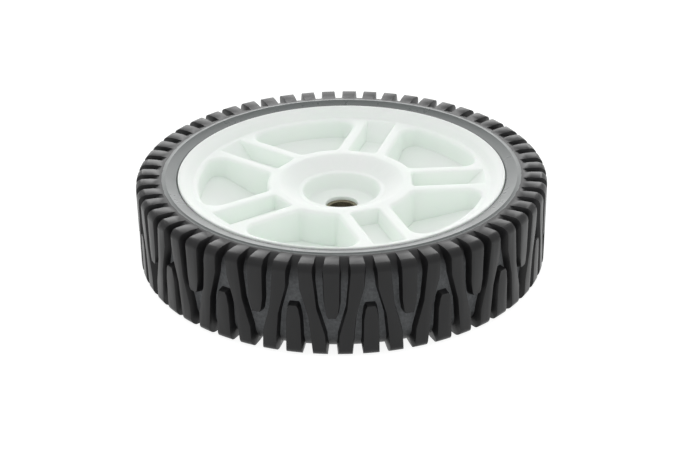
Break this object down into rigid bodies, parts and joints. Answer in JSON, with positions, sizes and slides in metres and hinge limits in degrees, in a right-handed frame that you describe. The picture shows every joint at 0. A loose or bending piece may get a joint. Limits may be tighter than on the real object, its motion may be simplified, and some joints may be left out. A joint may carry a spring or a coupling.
{
  "type": "lawn mower wheel",
  "caption": "Push mower wheel with a lugged black tyre on a white moulded rim with twin-rib spokes, a dished hub and a plain bearing bush.",
  "frame": {"origin": "on the axle axis, at the middle of the tread width", "axes": "+Z along the axle towards the outer face, +X through the middle of one spoke, wheel lying on its inner side"},
  "size_m": [0.2032, 0.2032, 0.0462],
  "materials": {
    "tyre": "satin moulded rubber",
    "rim": "satin moulded polypropylene",
    "axle_bush": "oiled sintered bronze"
  },
  "bodies": {
    "root": {"tyre": "tyre", "rim": "rim", "axle_bush": "axle_bush"}
  },
  "joints": []
}
